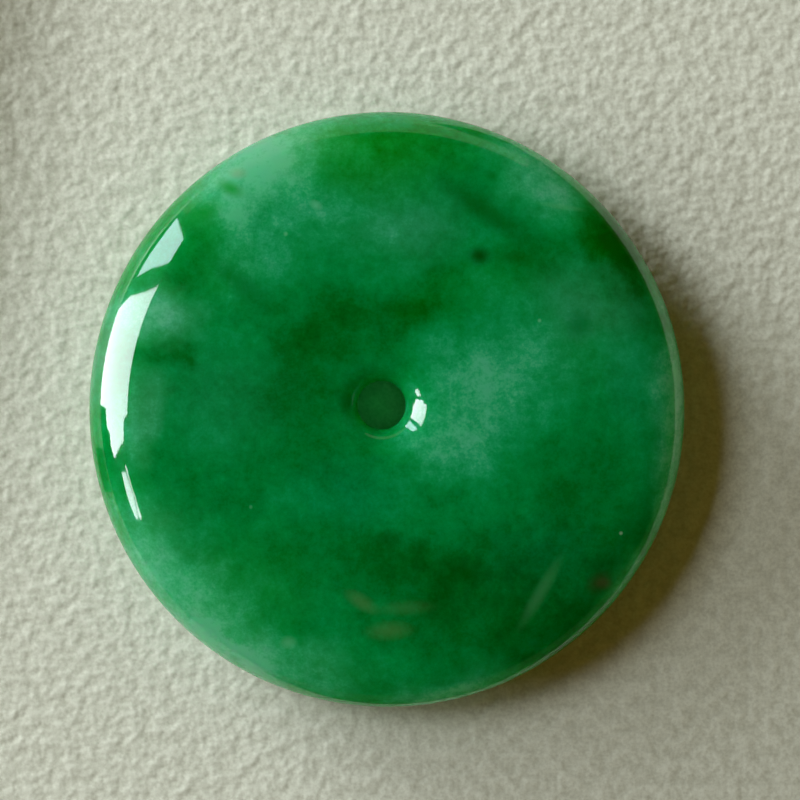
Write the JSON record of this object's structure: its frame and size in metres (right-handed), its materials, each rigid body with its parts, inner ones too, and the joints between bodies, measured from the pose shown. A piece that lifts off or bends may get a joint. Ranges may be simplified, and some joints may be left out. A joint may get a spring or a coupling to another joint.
{
  "type": "jade donut pendant",
  "caption": "Round polished green jade pendant: a thick disc with a rounded rim, a softly domed front, a flatter back and a small hole a little off its middle for a cord.",
  "frame": {"origin": "on the plane of the back face, which the pendant lies on, under the middle of the disc", "axes": "+Z out of the front face along the disc's axis, +Y towards the top of the front face as it is seen, +X to the right; the hole is a little to the -X and +Y side of the axis"},
  "size_m": [0.05, 0.05, 0.0078],
  "materials": {
    "jade": "polished, translucent, mottled green"
  },
  "bodies": {
    "root": {"jade_disc": "jade"}
  },
  "joints": []
}
